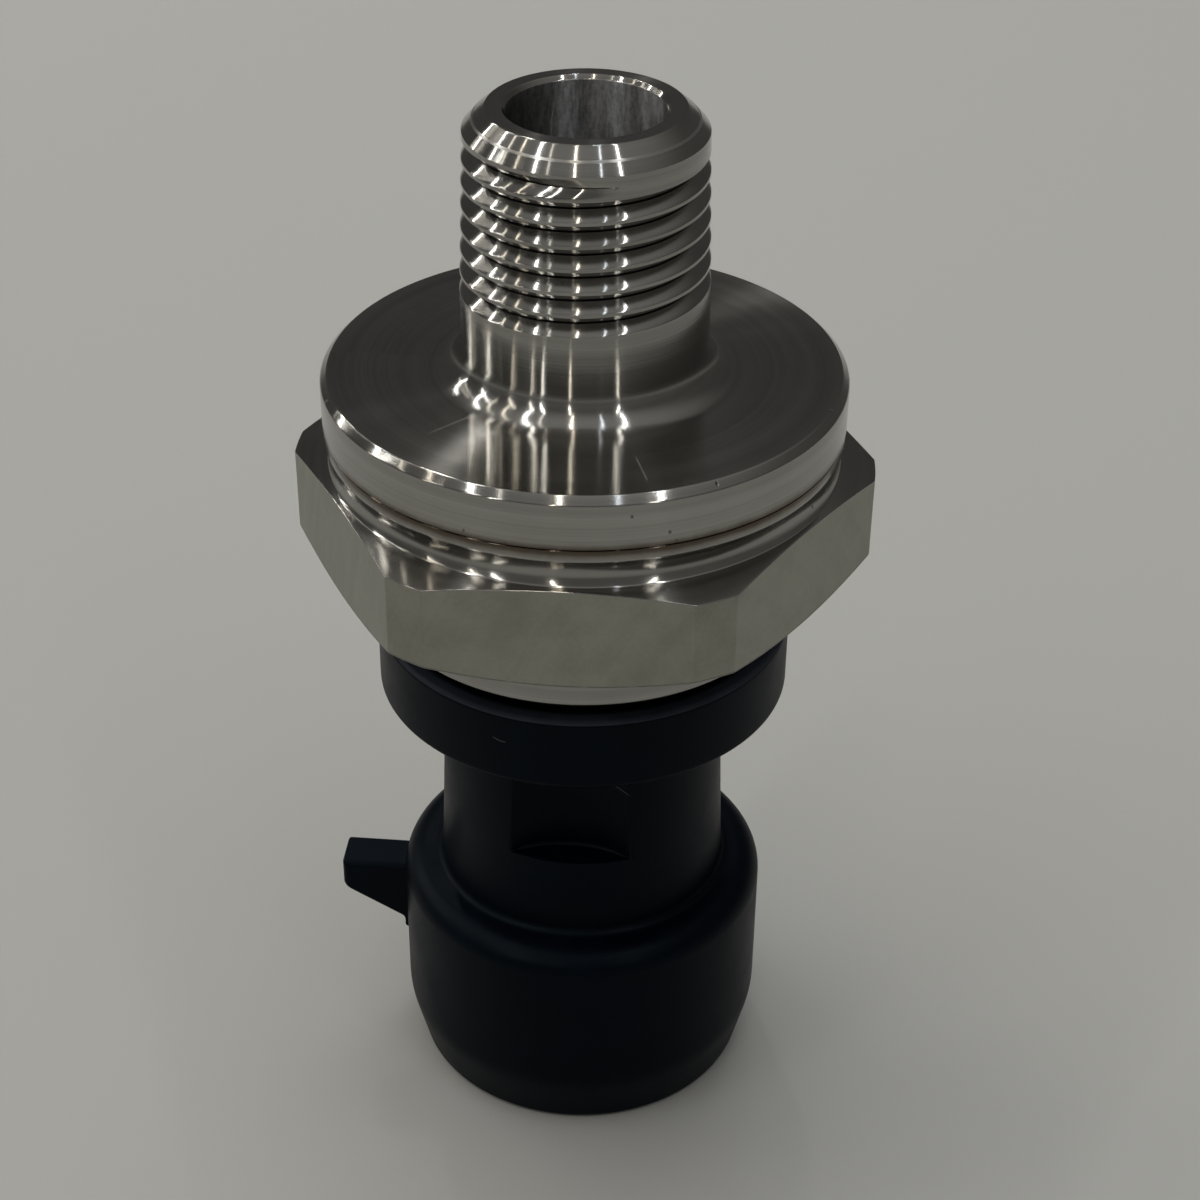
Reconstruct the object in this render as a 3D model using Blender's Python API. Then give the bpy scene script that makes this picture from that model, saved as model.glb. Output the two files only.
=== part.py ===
# Pressure sensor with a taper-threaded port, a hexagon housing and a three-pin plug socket.
# It stands on the rim of its socket with the port up.
# Metres, +Z up, origin at the centre of the socket's rim.

import math

import bmesh
import bpy
from mathutils import Matrix, Vector

mm = 0.001

# How finely round forms are divided
body_steps = 54
small_steps = 30
corner_steps = 3
fillet_steps = 5
relief_steps = 5
seal_section_steps = 8
bond_wire_steps = 7
lead_wire_steps = 12

# Clearances between neighbouring pieces
fit_clearance = 0.15 * mm
bond_gap = 0.05 * mm

# Moulded connector body, from the rim of the socket upwards
socket_radius = 6.7 * mm
shroud_wall = 1.6 * mm
shroud_height = 10.34 * mm
shroud_edge = 1.1 * mm
rim_wall = 0.97 * mm
rim_taper_height = 2.72 * mm
rim_edge = 0.2 * mm
shoulder_wall = 1.54 * mm
cavity_radius = 4.6 * mm
neck_wall = 1.55 * mm
neck_draft = 0.35 * mm
neck_height = 9.94 * mm
neck_fillet = 0.35 * mm
web_height = 3.8 * mm
collar_height = 3.55 * mm
collar_overhang = 0.05 * mm
collar_edge = 0.3 * mm
collar_gap = 0.66 * mm

# Scalloped pocket in the front of the neck
pocket_depth = 1.13 * mm
pocket_radius = 5.0 * mm
pocket_ledge = 3.9 * mm
pocket_headroom = 0.2 * mm

# Lock ramp on the side of the shroud
lock_reach = 3.0 * mm
lock_width = 2.06 * mm
lock_drop = 1.34 * mm
lock_tip_height = 1.46 * mm
lock_root_height = 3.27 * mm
lock_tip_corner = 0.45 * mm
lock_foot_fillet = 1.0 * mm
lock_edge = 0.25 * mm

# Spigot of the connector body, held by the housing's lip and sealed by a ring
lip_thickness = 0.6 * mm
lip_overlap = 0.65 * mm
spigot_wall = 1.5 * mm
flange_thickness = 0.55 * mm
seal_groove_width = 1.6 * mm
seal_section = 0.7 * mm
spigot_top_flange = 0.5 * mm
cavity_mouth = 0.9 * mm

# Hexagon housing, sized outwards from the bore that holds the spigot
boss_wall = 1.15 * mm
boss_height = 1.69 * mm
boss_edge = 0.25 * mm
flat_step = 2.05 * mm
corner_turned = 0.48 * mm
hexagon_height = 3.62 * mm
top_slope = math.radians(13.8)
under_slope = math.radians(23.5)
relief_height = 1.1 * mm
relief_depth = 0.24 * mm
relief_foot = 0.1 * mm
band_height = 0.5 * mm
band_inset = 0.03 * mm

# Pressure port, turned from one bar
disc_step = 0.12 * mm
disc_height = 2.26 * mm
disc_edge = 0.3 * mm
port_ledge = 0.2 * mm
port_ledge_gap = 0.3 * mm
port_spigot_length = 1.5 * mm
port_bore_radius = 3.15 * mm
bore_edge = 0.16 * mm
nipple_radius = 5.08 * mm
nipple_length = 11.19 * mm
nipple_fillet = 1.25 * mm
tip_face = 0.62 * mm
tip_cone_height = 0.45 * mm
tip_lead_height = 0.45 * mm

# Thread on the nipple: its start is counted in divisions round the body. Its fades are shares of a turn,
# and so is the way that the groove runs on after it meets the tip's edge.
thread_length = 7.07 * mm
thread_taper = 1 / 16
thread_pitch = 0.943 * mm
thread_depth = 0.7 * mm
thread_start_step = 14
thread_foot_fade = 0.3
thread_tip_fade = 0.1
thread_tip_overrun = 0.07

# Steel sensing cup with its thin diaphragm, welded into the port
cup_wall = 1.45 * mm
cup_flange_width = 0.85 * mm
cup_flange_height = 0.9 * mm
diaphragm_thickness = 0.35 * mm

# Strain gauges on the diaphragm, and the wires bonded to them
gauge_length = 1.8 * mm
gauge_width = 0.6 * mm
gauge_thickness = 0.12 * mm
gauge_spacing = 2.0 * mm
bond_wire_diameter = 0.1 * mm
bond_wire_loop = 0.45 * mm
gauge_pad_inset = 0.27 * mm
board_pad_inset = 0.35 * mm

# Ring-shaped circuit board round the cup, with its parts
board_margin = 0.3 * mm
board_thickness = 0.8 * mm
carrier_wall_margin = 0.2 * mm
chip_length = 3.0 * mm
chip_width = 2.2 * mm
chip_height = 0.85 * mm
small_part_length = 1.6 * mm
small_part_width = 0.8 * mm
capacitor_height = 0.8 * mm
resistor_height = 0.45 * mm
part_headroom = 0.39 * mm
chip_azimuth = 0
capacitor_azimuths = (48, 132, 180)
resistor_azimuths = (252, 288)

# Blade pins and the wires that join them to the board
pin_circle = 2.0 * mm
pin_azimuths = (90, 210, 330)
pin_width = 1.5 * mm
pin_thickness = 0.8 * mm
pin_recess = 2.4 * mm
pin_point = 0.35 * mm
tail_width = 1.0 * mm
tail_length = 3.4 * mm
potting_depth = 1.6 * mm
lead_diameter = 0.9 * mm
lead_board_gap = 0.4 * mm
lead_bend_power = 8

# Half the angle from one flat of the hexagon to the next
half_sector = math.radians(30)

# Heights up the axis, each worked out from the lengths above
socket_depth = shroud_height - shoulder_wall
collar_underside = shroud_height + neck_height
collar_top = collar_underside + collar_height
boss_bottom = collar_top + collar_gap
lip_top = boss_bottom + lip_thickness
flange_underside = lip_top + fit_clearance
groove_bottom = flange_underside + flange_thickness
groove_top = groove_bottom + seal_groove_width
spigot_top = groove_top + spigot_top_flange
web_top = socket_depth + web_height
boss_top = boss_bottom + boss_height

# Radii across the axis
shroud_radius = socket_radius + shroud_wall
rim_radius = socket_radius + rim_wall
neck_radius = cavity_radius + neck_wall
neck_foot_radius = neck_radius + neck_draft
groove_radius = cavity_radius + spigot_wall
seal_radius = groove_radius + fit_clearance + seal_section
bore_radius = seal_radius + seal_section + fit_clearance
flange_radius = bore_radius - fit_clearance
lip_radius = bore_radius - lip_overlap
lip_groove_radius = lip_radius - fit_clearance
boss_radius = bore_radius + boss_wall
collar_radius = boss_radius + collar_overhang
flat_distance = boss_radius + flat_step
corner_radius = flat_distance / math.cos(half_sector) - corner_turned
disc_radius = flat_distance - disc_step
band_radius = disc_radius - band_inset
relief_foot_radius = band_radius - relief_foot
port_spigot_radius = bore_radius + port_ledge
port_seat_radius = port_spigot_radius + fit_clearance
cup_radius = port_bore_radius + cup_wall
cup_flange_radius = cup_radius + cup_flange_width
board_radius = bore_radius - board_margin
board_hole = cup_radius + fit_clearance

# Heights of the hexagon, from its under chamfer to the weld joint
corner_bottom = boss_top + (corner_radius - boss_radius) * math.tan(under_slope)
corner_top = corner_bottom + hexagon_height
relief_bottom = corner_top + (corner_radius - relief_foot_radius) * math.tan(top_slope)
relief_top = relief_bottom + relief_height
housing_top = relief_top + band_height
disc_underside = housing_top + fit_clearance
disc_top = disc_underside + disc_height
port_top = disc_top + nipple_length
port_spigot_bottom = disc_underside - port_spigot_length
port_seat_bottom = port_spigot_bottom - port_ledge_gap

# Heights of the sensing cup, which reaches down to the board, of the board and of the pins
cup_flange_top = port_spigot_bottom + cup_flange_height
diaphragm_face = spigot_top + part_headroom + chip_height + bond_gap
board_top = diaphragm_face + board_thickness
tail_top = web_top + tail_length


def material(name, colour, roughness, metallic):
    made = bpy.data.materials.new(name)
    made.use_nodes = True
    shader = made.node_tree.nodes["Principled BSDF"]
    shader.inputs["Base Color"].default_value = (*colour, 1.0)
    shader.inputs["Roughness"].default_value = roughness
    shader.inputs["Metallic"].default_value = metallic
    made.diffuse_color = (*colour, 1.0)
    return made


def place(name, mesh, finish, parent, location=(0, 0, 0), turn=0.0):
    """A mesh becomes a named piece with its finish, turned about Z and placed."""
    piece = bpy.data.objects.new(name, mesh)
    bpy.context.scene.collection.objects.link(piece)
    piece.location = location
    piece.rotation_euler = (0, 0, turn)
    piece.parent = parent
    if not mesh.materials:
        mesh.materials.append(finish)
    return piece


def as_helper(piece):
    piece.hide_render = True
    piece.display_type = "WIRE"
    return piece


def combine(piece, other, operation):
    step = piece.modifiers.new(operation.title() + " " + other.name, "BOOLEAN")
    step.operation = operation
    step.solver = "EXACT"
    step.object = other


def arc(centre, radius, start, end, steps):
    """Points along an arc in the profile plane, angles in degrees from the outward direction."""
    points = []
    for i in range(steps + 1):
        angle = math.radians(start + (end - start) * i / steps)
        points.append((centre[0] + radius * math.cos(angle), centre[1] + radius * math.sin(angle)))
    return points


def washer(inner, outer, thickness):
    """Profile of a flat ring that stands on height 0."""
    return [(inner, 0), (outer, 0), (outer, thickness), (inner, thickness)]


def hollow_arc(start, end, depth, steps):
    """Points from start to end along an arc that dips inwards by depth at its middle."""
    points = []
    for i in range(steps + 1):
        t = i / steps
        radius = start[0] + (end[0] - start[0]) * t - depth * 4 * t * (1 - t)
        points.append((radius, start[1] + (end[1] - start[1]) * t))
    return points


def rounded(before, corner, after, radius, steps=corner_steps):
    """Points along an arc that touches both sides of an outline's corner."""
    back = (Vector(before) - Vector(corner)).normalized()
    ahead = (Vector(after) - Vector(corner)).normalized()
    half = back.angle(ahead) / 2
    centre = Vector(corner) + (back + ahead).normalized() * radius / math.sin(half)
    start = Vector(corner) + back * radius / math.tan(half) - centre
    end = Vector(corner) + ahead * radius / math.tan(half) - centre
    return [tuple(centre + start.slerp(end, i / steps).normalized() * radius) for i in range(steps + 1)]


def turned(name, profile, steps=body_steps):
    """A closed profile of (radius, height) points spun once round the Z axis."""
    return finished(name, spun_shape(profile, steps, True))


def spun_shape(profile, steps, closed):
    """The surface of a profile spun round the Z axis; an open one leaves its first and last rings free."""
    shape = bmesh.new()
    points = [shape.verts.new((radius, 0, height)) for radius, height in profile]
    first = 0 if closed else 1
    edges = [shape.edges.new((points[i - 1], points[i])) for i in range(first, len(points))]
    on_axis = [e for e in edges if all(abs(v.co.x) < 1e-9 for v in e.verts)]
    for edge in on_axis:
        edges.remove(edge)
        shape.edges.remove(edge)
    bmesh.ops.spin(
        shape, geom=points + edges, axis=(0, 0, 1), cent=(0, 0, 0), steps=steps, angle=2 * math.pi
    )
    bmesh.ops.remove_doubles(shape, verts=shape.verts, dist=1e-6)
    return shape


def add_thread(shape, foot, tip):
    """A right-hand V groove cut round the cone between two rings, given as (radius, height) points."""
    climb = thread_pitch / (tip[1] - foot[1]) / body_steps
    last = math.ceil(1 / climb)
    last_root = last + round((thread_tip_overrun - 1) * body_steps)

    def column(step, share, depth=0):
        """A vertex on the cone or under its surface, at a share of the thread's height."""
        angle = 2 * math.pi * (thread_start_step + step) / body_steps
        radius = foot[0] + (tip[0] - foot[0]) * share - depth
        height = foot[1] + (tip[1] - foot[1]) * share
        return shape.verts.new((radius * math.cos(angle), radius * math.sin(angle), height))

    def groove_depth(step):
        """Full depth, fading smoothly to nothing where the groove starts and ends."""
        foot_share = step / (thread_foot_fade * body_steps)
        tip_share = (last_root - step) / (thread_tip_fade * body_steps)
        t = min(1, foot_share, tip_share)
        return thread_depth * t * t * (3 - 2 * t)

    # The crest runs round the foot once, climbs to the tip and runs round the tip once
    foot_ring = [column(i, 0) for i in range(body_steps)]
    tip_ring = [column(i, 1) for i in range(body_steps)]
    crest = foot_ring + foot_ring[:1] + [column(i, i * climb) for i in range(1, last)]
    crest += [tip_ring[i % body_steps] for i in range(last, last + body_steps + 1)]
    root = {i: column(i, (i + body_steps / 2) * climb, groove_depth(i)) for i in range(last_root + 1)}
    chains = []
    for i in range(-body_steps, last + 1):
        groove = [root[i]] if i in root else []
        chains.append([crest[i + body_steps], *groove, crest[i + 2 * body_steps]])
    for near, far in zip(chains, chains[1:]):
        if len(near) == len(far) == 3:
            shape.faces.new((near[0], far[0], far[1], near[1]))
            shape.faces.new((near[1], far[1], far[2], near[2]))
        else:
            shape.faces.new(list(dict.fromkeys(near[::-1] + far)))
    bmesh.ops.remove_doubles(shape, verts=shape.verts, dist=1e-6)


def extruded(name, outline, length):
    """A closed outline of (x, z) points pushed along Y, centred on Y = 0."""
    shape = bmesh.new()
    face = shape.faces.new([shape.verts.new((x, -length / 2, z)) for x, z in outline])
    moved = bmesh.ops.extrude_face_region(shape, geom=[face])["geom"]
    verts = [part for part in moved if isinstance(part, bmesh.types.BMVert)]
    bmesh.ops.translate(shape, verts=verts, vec=(0, length, 0))
    return finished(name, shape)


def block(name, size, centre=(0, 0, 0)):
    shape = bmesh.new()
    bmesh.ops.create_cube(shape, size=1, matrix=Matrix.Translation(centre) @ Matrix.Diagonal((*size, 1)))
    return finished(name, shape)


def hexagon_ring(name, inner, outer, bottom, top):
    """A ring between two hexagons, given by the distances of their flats, with flats on +Y and -Y."""
    shape = bmesh.new()
    loops = []
    for distance, height in ((inner, bottom), (outer, bottom), (outer, top), (inner, top)):
        reach = distance / math.cos(half_sector)
        turns = [2 * half_sector * k for k in range(6)]
        loops.append([shape.verts.new((reach * math.cos(a), reach * math.sin(a), height)) for a in turns])
    for i in range(4):
        near, far = loops[i - 1], loops[i]
        for k in range(6):
            shape.faces.new((near[k - 1], near[k], far[k], far[k - 1]))
    return finished(name, shape)


def finished(name, shape):
    bmesh.ops.recalc_face_normals(shape, faces=shape.faces)
    mesh = bpy.data.meshes.new(name)
    shape.to_mesh(mesh)
    shape.free()
    mesh.shade_smooth()
    mesh.set_sharp_from_angle(angle=math.radians(32))
    return mesh


def wire(name, points, diameter, finish, parent):
    """A round wire through the given points, with closed ends."""
    curve = bpy.data.curves.new(name, "CURVE")
    curve.dimensions = "3D"
    curve.bevel_depth = diameter / 2
    curve.bevel_resolution = 2
    curve.use_fill_caps = True
    line = curve.splines.new("POLY")
    line.points.add(len(points) - 1)
    for slot, point in zip(line.points, points):
        slot.co = (*point, 1)
    curve.materials.append(finish)
    piece = bpy.data.objects.new(name, curve)
    bpy.context.scene.collection.objects.link(piece)
    piece.parent = parent
    return piece


def around(radius, degrees, height):
    angle = math.radians(degrees)
    return Vector((radius * math.cos(angle), radius * math.sin(angle), height))


def pressure_port(parent, steel):
    """Threaded nipple, disc and spigot in one turning, with the pressure bore and the cup's recess."""
    tip_outer = port_bore_radius + bore_edge + tip_face
    lead_radius = nipple_radius - thread_length * thread_taper / 2
    break_radius = (tip_outer + lead_radius) / 2
    recess_radius = cup_flange_radius + fit_clearance
    recess_top = cup_flange_top + fit_clearance
    thread_tip = (lead_radius, port_top - tip_cone_height - tip_lead_height)
    thread_foot = (nipple_radius, thread_tip[1] - thread_length)
    fillet_centre = (nipple_radius + nipple_fillet, disc_top + nipple_fillet)
    profile = [
        thread_foot,
        *arc(fillet_centre, nipple_fillet, 180, 270, fillet_steps),
        (disc_radius - disc_edge, disc_top),
        (disc_radius, disc_top - disc_edge),
        (disc_radius, disc_underside),
        (port_spigot_radius, disc_underside),
        (port_spigot_radius, port_spigot_bottom),
        (recess_radius, port_spigot_bottom),
        (recess_radius, recess_top),
        (port_bore_radius, recess_top),
        (port_bore_radius, port_top - bore_edge),
        (port_bore_radius + bore_edge, port_top),
        (tip_outer, port_top),
        (break_radius, port_top - tip_cone_height),
        thread_tip,
    ]
    shape = spun_shape(profile, body_steps, False)
    add_thread(shape, thread_foot, thread_tip)
    return place("pressure_port", finished("pressure_port", shape), steel, parent)


def hex_housing(parent, steel):
    """Hexagon bar turned to a boss, a relief and a weld band, bored through, its lip rolled in."""
    relief_ends = (relief_foot_radius, relief_bottom), (band_radius, relief_top)
    profile = [
        (lip_radius, boss_bottom),
        (boss_radius - boss_edge, boss_bottom),
        (boss_radius, boss_bottom + boss_edge),
        (boss_radius, boss_top),
        (corner_radius, corner_bottom),
        (corner_radius, corner_top),
        *hollow_arc(*relief_ends, relief_depth, relief_steps),
        (band_radius, housing_top),
        (port_seat_radius, housing_top),
        (port_seat_radius, port_seat_bottom),
        (bore_radius, port_seat_bottom),
        (bore_radius, lip_top),
        (lip_radius, lip_top),
    ]
    housing = place("hex_housing", turned("hex_housing", profile), steel, parent)
    mill = hexagon_ring("flats", flat_distance, corner_radius + corner_turned, boss_top, relief_top)
    combine(housing, as_helper(place("flats", mill, steel, parent)), "DIFFERENCE")
    return housing


def connector_body(parent, plastic, pin_slot):
    """Spigot, collar, neck and socket shroud in one moulding, with its pocket, lock and pin slots."""
    fillet_centre = (neck_foot_radius + neck_fillet, shroud_height + neck_fillet)
    profile = [
        (0, socket_depth),
        (socket_radius, socket_depth),
        (socket_radius, rim_edge),
        (socket_radius + rim_edge, 0),
        (rim_radius - rim_edge, 0),
        (rim_radius, rim_edge),
        (shroud_radius, rim_taper_height),
        *arc((shroud_radius - shroud_edge, shroud_height - shroud_edge), shroud_edge, 0, 90, fillet_steps),
        *arc(fillet_centre, neck_fillet, 270, 180, corner_steps),
        (neck_radius, collar_underside),
        (collar_radius - collar_edge, collar_underside),
        (collar_radius, collar_underside + collar_edge),
        (collar_radius, collar_top - collar_edge),
        (collar_radius - collar_edge, collar_top),
        (lip_groove_radius, collar_top),
        (lip_groove_radius, flange_underside),
        (flange_radius, flange_underside),
        (flange_radius, groove_bottom),
        (groove_radius, groove_bottom),
        (groove_radius, groove_top),
        (flange_radius, groove_top),
        (flange_radius, spigot_top),
        (cavity_radius + cavity_mouth, spigot_top),
        (cavity_radius, spigot_top - cavity_mouth),
        (cavity_radius, web_top),
        (0, web_top),
    ]
    body = place("connector_body", turned("connector_body", profile), plastic, parent)
    combine(body, lock_ramp(parent, plastic), "UNION")
    combine(body, neck_pocket(parent, plastic), "DIFFERENCE")
    for number, degrees in enumerate(pin_azimuths, start=1):
        slot = place(f"pin_slot_{number}", pin_slot, plastic, parent, around(pin_circle, degrees, 0))
        combine(body, as_helper(slot), "DIFFERENCE")
    return body


def lock_ramp(parent, plastic):
    """Wedge on the -X side: flat on top, sloping underneath from its tip down to a fillet on the shroud."""
    root = -(shroud_radius - shroud_wall / 2)
    tip = -(shroud_radius + lock_reach)
    wall = -math.sqrt(shroud_radius**2 - (lock_width / 2) ** 2)
    top = shroud_height - lock_drop
    tip_low = (tip, top - lock_tip_height)
    foot = (wall, top - lock_root_height)
    fillet = rounded(tip_low, foot, (wall, 0), lock_foot_fillet)
    outline = [
        (root, top),
        (tip, top),
        *rounded((tip, top), tip_low, foot, lock_tip_corner),
        *fillet,
        (root, fillet[-1][1]),
    ]
    ramp = as_helper(place("lock_ramp", extruded("lock_ramp", outline, lock_width), plastic, parent))
    edge = ramp.modifiers.new("Edge", "BEVEL")
    edge.width = lock_edge
    edge.segments = 2
    return ramp


def neck_pocket(parent, plastic):
    """Upright cylinder that cuts the scalloped pocket into the front of the neck."""
    floor = neck_radius - pocket_depth
    bottom = shroud_height + pocket_ledge
    top = collar_underside - pocket_headroom
    profile = [(0, bottom), (pocket_radius, bottom), (pocket_radius, top), (0, top)]
    cutter = turned("neck_pocket", profile)
    return as_helper(place("neck_pocket", cutter, plastic, parent, (0, -floor - pocket_radius, 0)))


def sensing_cup(parent, steel):
    profile = [
        (0, diaphragm_face),
        (cup_radius, diaphragm_face),
        (cup_radius, port_spigot_bottom),
        (cup_flange_radius, port_spigot_bottom),
        (cup_flange_radius, cup_flange_top),
        (port_bore_radius, cup_flange_top),
        (port_bore_radius, diaphragm_face + diaphragm_thickness),
        (0, diaphragm_face + diaphragm_thickness),
    ]
    return place("sensing_cup", turned("sensing_cup", profile, small_steps), steel, parent)


def strain_gauges(parent, silicon, gold):
    """Two gauges on the diaphragm, each with a wire from either end to the board."""
    gauge = block("strain_gauge", (gauge_width, gauge_length, gauge_thickness))
    height = diaphragm_face - bond_gap - gauge_thickness / 2
    number = 0
    for side, label in ((-1, "left"), (1, "right")):
        place("strain_gauge_" + label, gauge, silicon, parent, (side * gauge_spacing / 2, 0, height))
        for end in (-1, 1):
            number += 1
            start = Vector((side * gauge_spacing / 2, end * (gauge_length / 2 - gauge_pad_inset), 0))
            pad = start.normalized() * (board_hole + board_pad_inset)
            bond_wire(number, start, pad, gold, parent)


def bond_wire(number, start, pad, gold, parent):
    """A fine wire that leaves the gauge, loops down and rises to its pad on the board."""
    touch = bond_gap + bond_wire_diameter / 2
    from_height = diaphragm_face - gauge_thickness - bond_gap - touch
    to_height = diaphragm_face - touch
    points = []
    for i in range(bond_wire_steps + 1):
        t = i / bond_wire_steps
        point = start.lerp(pad, t)
        point.z = from_height + (to_height - from_height) * t - bond_wire_loop * 4 * t * (1 - t)
        points.append(point)
    wire(f"bond_wire_{number}", points, bond_wire_diameter, gold, parent)


def board_and_parts(parent, laminate, ceramic, resin, carrier_plastic):
    board = turned("circuit_board", washer(board_hole, board_radius, board_thickness), small_steps)
    place("circuit_board", board, laminate, parent, (0, 0, diaphragm_face))
    carrier_radius = bore_radius - carrier_wall_margin
    carrier_bottom = board_top + fit_clearance
    carrier_height = port_spigot_bottom - fit_clearance - carrier_bottom
    carrier = turned("board_carrier", washer(board_hole, carrier_radius, carrier_height), small_steps)
    place("board_carrier", carrier, carrier_plastic, parent, (0, 0, carrier_bottom))
    middle = (board_hole + board_radius) / 2
    chip_size = (chip_length, chip_width, chip_height)
    capacitor_size = (small_part_length, small_part_width, capacitor_height)
    resistor_size = (small_part_length, small_part_width, resistor_height)
    parts = [("signal_chip", chip_size, chip_azimuth, resin)]
    for number, degrees in enumerate(capacitor_azimuths, start=1):
        parts.append((f"capacitor_{number}", capacitor_size, degrees, ceramic))
    for number, degrees in enumerate(resistor_azimuths, start=1):
        parts.append((f"resistor_{number}", resistor_size, degrees, resin))
    for name, size, degrees, finish in parts:
        centre = around(middle, degrees, diaphragm_face - bond_gap - size[2] / 2)
        place(name, block(name, size), finish, parent, centre, math.radians(degrees + 90))


def terminals(parent, brass, compound, insulation):
    """Three blade pins through the web, a potting disc round their tails and a lead from each."""
    blade = pin_width / 2
    tail = tail_width / 2
    outline = [
        (-blade + pin_point, pin_recess),
        (blade - pin_point, pin_recess),
        (blade, pin_recess + pin_point),
        (blade, web_top - bond_gap),
        (tail, web_top - bond_gap),
        (tail, tail_top),
        (-tail, tail_top),
        (-tail, web_top - bond_gap),
        (-blade, web_top - bond_gap),
        (-blade, pin_recess + pin_point),
    ]
    pin = extruded("terminal", outline, pin_thickness)
    disc_bottom = web_top + fit_clearance
    disc = [(0, disc_bottom), (cavity_radius - fit_clearance, disc_bottom)]
    disc += [(radius, height + potting_depth) for radius, height in reversed(disc)]
    potting = place("potting_disc", turned("potting_disc", disc, small_steps), compound, parent)
    passage_size = (tail_width + 2 * fit_clearance, pin_thickness + 2 * fit_clearance, 2 * potting_depth)
    passage = block("tail_passage", passage_size, (0, 0, disc_bottom + potting_depth / 2))
    for number, degrees in enumerate(pin_azimuths, start=1):
        foot = around(pin_circle, degrees, 0)
        place(f"terminal_{number}", pin, brass, parent, foot)
        cutter = as_helper(place(f"tail_passage_{number}", passage, compound, parent, foot))
        combine(potting, cutter, "DIFFERENCE")
        lead_wire(number, degrees, insulation, parent)


def lead_wire(number, degrees, insulation, parent):
    """An insulated lead from a pin's tail up the cavity, bending out to the board at the top."""
    start = tail_top + fit_clearance
    end = diaphragm_face - lead_board_gap
    reach = board_hole + lead_diameter / 2
    points = []
    for i in range(lead_wire_steps + 1):
        t = i / lead_wire_steps
        radius = pin_circle + (reach - pin_circle) * t**lead_bend_power
        points.append(around(radius, degrees, start + (end - start) * t))
    wire(f"lead_wire_{number}", points, lead_diameter, insulation, parent)


def seal_ring(parent, rubber):
    centre = (seal_radius, (groove_bottom + groove_top) / 2)
    section = arc(centre, seal_section, 0, 360, seal_section_steps)[:-1]
    return place("body_seal_ring", turned("body_seal_ring", section, small_steps), rubber, parent)


def build():
    for old in list(bpy.data.objects):
        bpy.data.objects.remove(old, do_unlink=True)
    root = bpy.data.objects.new("pressure_sensor", None)
    bpy.context.scene.collection.objects.link(root)

    port_steel = material("port_steel", (0.42, 0.41, 0.38), 0.28, 1.0)
    housing_steel = material("housing_steel", (0.46, 0.45, 0.41), 0.36, 1.0)
    cup_steel = material("cup_steel", (0.50, 0.49, 0.47), 0.3, 1.0)
    black_plastic = material("black_plastic", (0.012, 0.014, 0.017), 0.42, 0.0)
    carrier_plastic = material("carrier_plastic", (0.05, 0.05, 0.05), 0.5, 0.0)
    silicon = material("silicon", (0.16, 0.16, 0.18), 0.25, 0.2)
    gold = material("gold", (0.83, 0.62, 0.25), 0.25, 1.0)
    laminate = material("laminate", (0.03, 0.14, 0.06), 0.45, 0.0)
    ceramic = material("ceramic_parts", (0.45, 0.33, 0.22), 0.5, 0.0)
    resin = material("black_resin", (0.02, 0.02, 0.02), 0.5, 0.0)
    brass = material("tinned_brass", (0.70, 0.67, 0.60), 0.3, 1.0)
    compound = material("potting_compound", (0.03, 0.03, 0.035), 0.35, 0.0)
    insulation = material("lead_insulation", (0.35, 0.03, 0.03), 0.55, 0.0)
    rubber = material("seal_rubber", (0.02, 0.02, 0.02), 0.6, 0.0)

    slot_size = (pin_width + 2 * fit_clearance, pin_thickness + 2 * fit_clearance, 2 * web_height)
    pin_slot = block("pin_slot", slot_size, (0, 0, (socket_depth + web_top) / 2))
    pressure_port(root, port_steel)
    hex_housing(root, housing_steel)
    connector_body(root, black_plastic, pin_slot)
    sensing_cup(root, cup_steel)
    strain_gauges(root, silicon, gold)
    board_and_parts(root, laminate, ceramic, resin, carrier_plastic)
    terminals(root, brass, compound, insulation)
    seal_ring(root, rubber)


build()
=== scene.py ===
import bmesh
import bpy
import numpy as np
from mathutils import Matrix, Quaternion, Vector


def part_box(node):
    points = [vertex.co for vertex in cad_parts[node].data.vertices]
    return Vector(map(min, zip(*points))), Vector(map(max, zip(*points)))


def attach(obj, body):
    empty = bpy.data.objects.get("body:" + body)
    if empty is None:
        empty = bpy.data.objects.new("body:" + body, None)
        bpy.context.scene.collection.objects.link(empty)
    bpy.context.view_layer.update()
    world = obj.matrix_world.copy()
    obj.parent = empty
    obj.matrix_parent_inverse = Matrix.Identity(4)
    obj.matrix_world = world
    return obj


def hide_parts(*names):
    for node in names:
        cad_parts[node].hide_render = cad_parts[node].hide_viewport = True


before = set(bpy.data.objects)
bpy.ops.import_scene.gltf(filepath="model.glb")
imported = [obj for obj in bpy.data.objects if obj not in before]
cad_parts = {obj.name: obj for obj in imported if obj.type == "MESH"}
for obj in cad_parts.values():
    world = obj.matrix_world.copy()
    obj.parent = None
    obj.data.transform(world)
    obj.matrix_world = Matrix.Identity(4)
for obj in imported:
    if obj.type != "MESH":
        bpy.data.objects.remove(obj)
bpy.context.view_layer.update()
mm = 0.001


# Mesh tools

def circleAngles(count):
    return np.arange(count) * 2 * np.pi / count


def arcPoints(centre, radius, start, end, count):
    # centre + radius * (cos a, sin a), with a running evenly from start to end degrees
    angles = np.radians(np.linspace(start, end, count))
    return np.stack([centre[0] + radius * np.cos(angles), centre[1] + radius * np.sin(angles)], -1)


def lengthOf(vectors):
    return np.linalg.norm(vectors, axis=-1, keepdims=True)


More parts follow.
